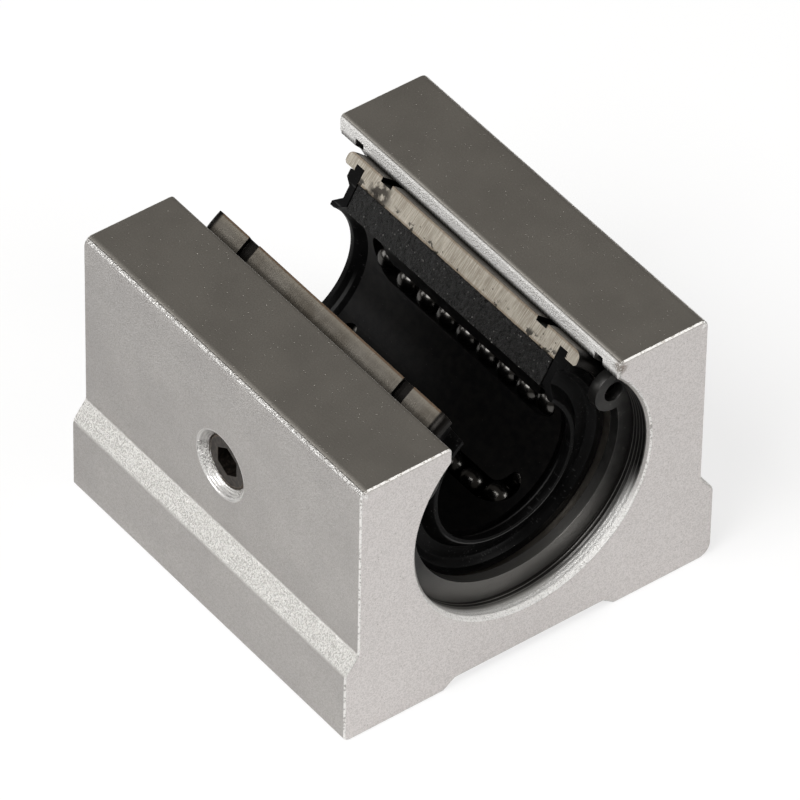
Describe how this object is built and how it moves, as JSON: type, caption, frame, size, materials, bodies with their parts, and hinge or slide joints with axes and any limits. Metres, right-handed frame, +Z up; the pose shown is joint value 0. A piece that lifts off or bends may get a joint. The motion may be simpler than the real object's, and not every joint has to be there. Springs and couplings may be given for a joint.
{
  "type": "linear bearing block",
  "caption": "Open pillow block for a rail-supported 16 mm shaft: an aluminium housing clamps a slotted linear ball bushing between snap rings and bolts down from below",
  "frame": {"origin": "centre of the flat mounting face on which the block stands, under the middle of the shaft bore", "axes": "+Z points up, out of the mounting face towards the shaft opening; +Y runs along the rail shaft; +X runs across it, away from the side with the set screw"},
  "size_m": [0.045, 0.045, 0.032],
  "materials": {
    "block_aluminium": "bead-blasted and clear anodised, bored and drilled faces left machined",
    "bearing_steel": "hardened and ground, the opening's cut faces coarsely ground",
    "cage_resin": "black moulded resin, rough where the opening is cut",
    "seal_rubber": "black, smooth moulded, slightly oily",
    "ring_steel": "spring steel, black oxide and oil",
    "screw_steel": "black oxide",
    "ball_steel": "polished bearing steel"
  },
  "bodies": {
    "block": {"housing_block": "block_aluminium", "set_screw": "screw_steel", "front_snap_ring": "ring_steel", "rear_snap_ring": "ring_steel", "outer_sleeve": "bearing_steel", "ball_cage": "cage_resin", "front_seal": "seal_rubber", "rear_seal": "seal_rubber"},
    "circuit_1_loaded_row": {"circuit_1_loaded_balls": "ball_steel"},
    "circuit_1_return_row": {"circuit_1_return_balls": "ball_steel"},
    "circuit_1_front_turn": {"circuit_1_front_turn_balls": "ball_steel"},
    "circuit_1_rear_turn": {"circuit_1_rear_turn_balls": "ball_steel"},
    "circuit_2_loaded_row": {"circuit_2_loaded_balls": "ball_steel"},
    "circuit_2_return_row": {"circuit_2_return_balls": "ball_steel"},
    "circuit_2_front_turn": {"circuit_2_front_turn_balls": "ball_steel"},
    "circuit_2_rear_turn": {"circuit_2_rear_turn_balls": "ball_steel"},
    "circuit_3_loaded_row": {"circuit_3_loaded_balls": "ball_steel"},
    "circuit_3_return_row": {"circuit_3_return_balls": "ball_steel"},
    "circuit_3_front_turn": {"circuit_3_front_turn_balls": "ball_steel"},
    "circuit_3_rear_turn": {"circuit_3_rear_turn_balls": "ball_steel"},
    "circuit_4_loaded_row": {"circuit_4_loaded_balls": "ball_steel"},
    "circuit_4_return_row": {"circuit_4_return_balls": "ball_steel"},
    "circuit_4_front_turn": {"circuit_4_front_turn_balls": "ball_steel"},
    "circuit_4_rear_turn": {"circuit_4_rear_turn_balls": "ball_steel"}
  },
  "joints": [
    {"name": "circuit_1_loaded_roll", "type": "slide", "parent": "block", "child": "circuit_1_loaded_row", "axis": [0, 1, 0], "range_m": [-0.00161, 0.00161]},
    {"name": "circuit_1_return_roll", "type": "slide", "parent": "block", "child": "circuit_1_return_row", "axis": [0, 1, 0], "range_m": [-0.00161, 0.00161]},
    {"name": "circuit_1_front_turn_roll", "type": "hinge", "parent": "block", "child": "circuit_1_front_turn", "pos_m": [0.00967, -0.01124, 0.02192], "axis": [0.9996, 0, -0.0295], "range_deg": [-45, 45]},
    {"name": "circuit_1_rear_turn_roll", "type": "hinge", "parent": "block", "child": "circuit_1_rear_turn", "pos_m": [0.00967, 0.01124, 0.02192], "axis": [0.9996, 0, -0.0295], "range_deg": [-45, 45]},
    {"name": "circuit_2_loaded_roll", "type": "slide", "parent": "block", "child": "circuit_2_loaded_row", "axis": [0, 1, 0], "range_m": [-0.00161, 0.00161]},
    {"name": "circuit_2_return_roll", "type": "slide", "parent": "block", "child": "circuit_2_return_row", "axis": [0, 1, 0], "range_m": [-0.00161, 0.00161]},
    {"name": "circuit_2_front_turn_roll", "type": "hinge", "parent": "block", "child": "circuit_2_front_turn", "pos_m": [0.00481, -0.01124, 0.0114], "axis": [0.2808, 0, -0.9598], "range_deg": [-45, 45]},
    {"name": "circuit_2_rear_turn_roll", "type": "hinge", "parent": "block", "child": "circuit_2_rear_turn", "pos_m": [0.00481, 0.01124, 0.0114], "axis": [0.2808, 0, -0.9598], "range_deg": [-45, 45]},
    {"name": "circuit_3_loaded_roll", "type": "slide", "parent": "block", "child": "circuit_3_loaded_row", "axis": [0, 1, 0], "range_m": [-0.00161, 0.00161]},
    {"name": "circuit_3_return_roll", "type": "slide", "parent": "block", "child": "circuit_3_return_row", "axis": [0, 1, 0], "range_m": [-0.00161, 0.00161]},
    {"name": "circuit_3_front_turn_roll", "type": "hinge", "parent": "block", "child": "circuit_3_front_turn", "pos_m": [-0.00669, -0.01124, 0.01276], "axis": [-0.826, 0, -0.5636], "range_deg": [-45, 45]},
    {"name": "circuit_3_rear_turn_roll", "type": "hinge", "parent": "block", "child": "circuit_3_rear_turn", "pos_m": [-0.00669, 0.01124, 0.01276], "axis": [-0.826, 0, -0.5636], "range_deg": [-45, 45]},
    {"name": "circuit_4_loaded_roll", "type": "slide", "parent": "block", "child": "circuit_4_loaded_row", "axis": [0, 1, 0], "range_m": [-0.00161, 0.00161]},
    {"name": "circuit_4_return_roll", "type": "slide", "parent": "block", "child": "circuit_4_return_row", "axis": [0, 1, 0], "range_m": [-0.00161, 0.00161]},
    {"name": "circuit_4_front_turn_roll", "type": "hinge", "parent": "block", "child": "circuit_4_front_turn", "pos_m": [-0.00895, -0.01124, 0.02413], "axis": [-0.7913, 0, 0.6114], "range_deg": [-45, 45]},
    {"name": "circuit_4_rear_turn_roll", "type": "hinge", "parent": "block", "child": "circuit_4_rear_turn", "pos_m": [-0.00895, 0.01124, 0.02413], "axis": [-0.7913, 0, 0.6114], "range_deg": [-45, 45]}
  ],
  "couplings": [
    {"joint": "circuit_1_return_roll", "follows": "circuit_1_loaded_roll", "ratio": -1},
    {"joint": "circuit_1_front_turn_roll", "follows": "circuit_1_loaded_roll", "rad_per_m": 489.34},
    {"joint": "circuit_1_rear_turn_roll", "follows": "circuit_1_loaded_roll", "rad_per_m": 489.34},
    {"joint": "circuit_2_loaded_roll", "follows": "circuit_1_loaded_roll", "ratio": 1},
    {"joint": "circuit_2_return_roll", "follows": "circuit_1_loaded_roll", "ratio": -1},
    {"joint": "circuit_2_front_turn_roll", "follows": "circuit_1_loaded_roll", "rad_per_m": 489.34},
    {"joint": "circuit_2_rear_turn_roll", "follows": "circuit_1_loaded_roll", "rad_per_m": 489.34},
    {"joint": "circuit_3_loaded_roll", "follows": "circuit_1_loaded_roll", "ratio": 1},
    {"joint": "circuit_3_return_roll", "follows": "circuit_1_loaded_roll", "ratio": -1},
    {"joint": "circuit_3_front_turn_roll", "follows": "circuit_1_loaded_roll", "rad_per_m": 489.34},
    {"joint": "circuit_3_rear_turn_roll", "follows": "circuit_1_loaded_roll", "rad_per_m": 489.34},
    {"joint": "circuit_4_loaded_roll", "follows": "circuit_1_loaded_roll", "ratio": 1},
    {"joint": "circuit_4_return_roll", "follows": "circuit_1_loaded_roll", "ratio": -1},
    {"joint": "circuit_4_front_turn_roll", "follows": "circuit_1_loaded_roll", "rad_per_m": 489.34},
    {"joint": "circuit_4_rear_turn_roll", "follows": "circuit_1_loaded_roll", "rad_per_m": 489.34}
  ]
}
